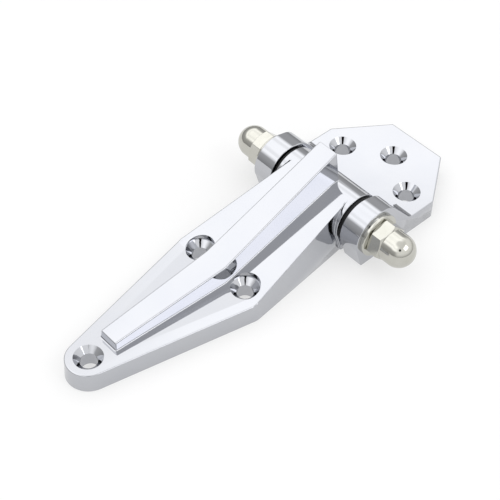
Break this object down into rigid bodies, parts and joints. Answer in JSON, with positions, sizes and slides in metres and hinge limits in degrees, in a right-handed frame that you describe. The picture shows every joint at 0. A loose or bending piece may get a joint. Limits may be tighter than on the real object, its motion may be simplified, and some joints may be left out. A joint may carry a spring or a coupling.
{
  "type": "strap hinge",
  "caption": "Chrome strap hinge for a refrigerator door: a kite-shaped door strap with a raised spine turns on a through pin between the ears of a small frame plate, with a cap nut at each end.",
  "frame": {"origin": "middle of the closed hinge's box, on the plane of the two mounting faces", "axes": "+X runs along the hinge from the strap's tip towards the frame plate, +Y along the pin to the left side, +Z out of the door"},
  "size_m": [0.1676, 0.088, 0.0346],
  "materials": {
    "chrome_plate": "polished chrome plate on die-cast zinc",
    "nickel_plate": "bright nickel plate on steel",
    "pin_steel": "ground steel",
    "black_nylon": "moulded black nylon"
  },
  "bodies": {
    "frame": {"frame_leaf": "chrome_plate", "hinge_pin": "pin_steel", "washer_left": "nickel_plate", "washer_right": "nickel_plate", "cap_nut_left": "nickel_plate", "cap_nut_right": "nickel_plate"},
    "strap": {"strap_leaf": "chrome_plate", "bush_left": "black_nylon", "bush_right": "black_nylon"}
  },
  "joints": [
    {"name": "strap_swing", "type": "hinge", "parent": "frame", "child": "strap", "pos_m": [0.03315, 0, 0.0118], "axis": [0, 1, 0], "range_deg": [0, 95]}
  ]
}
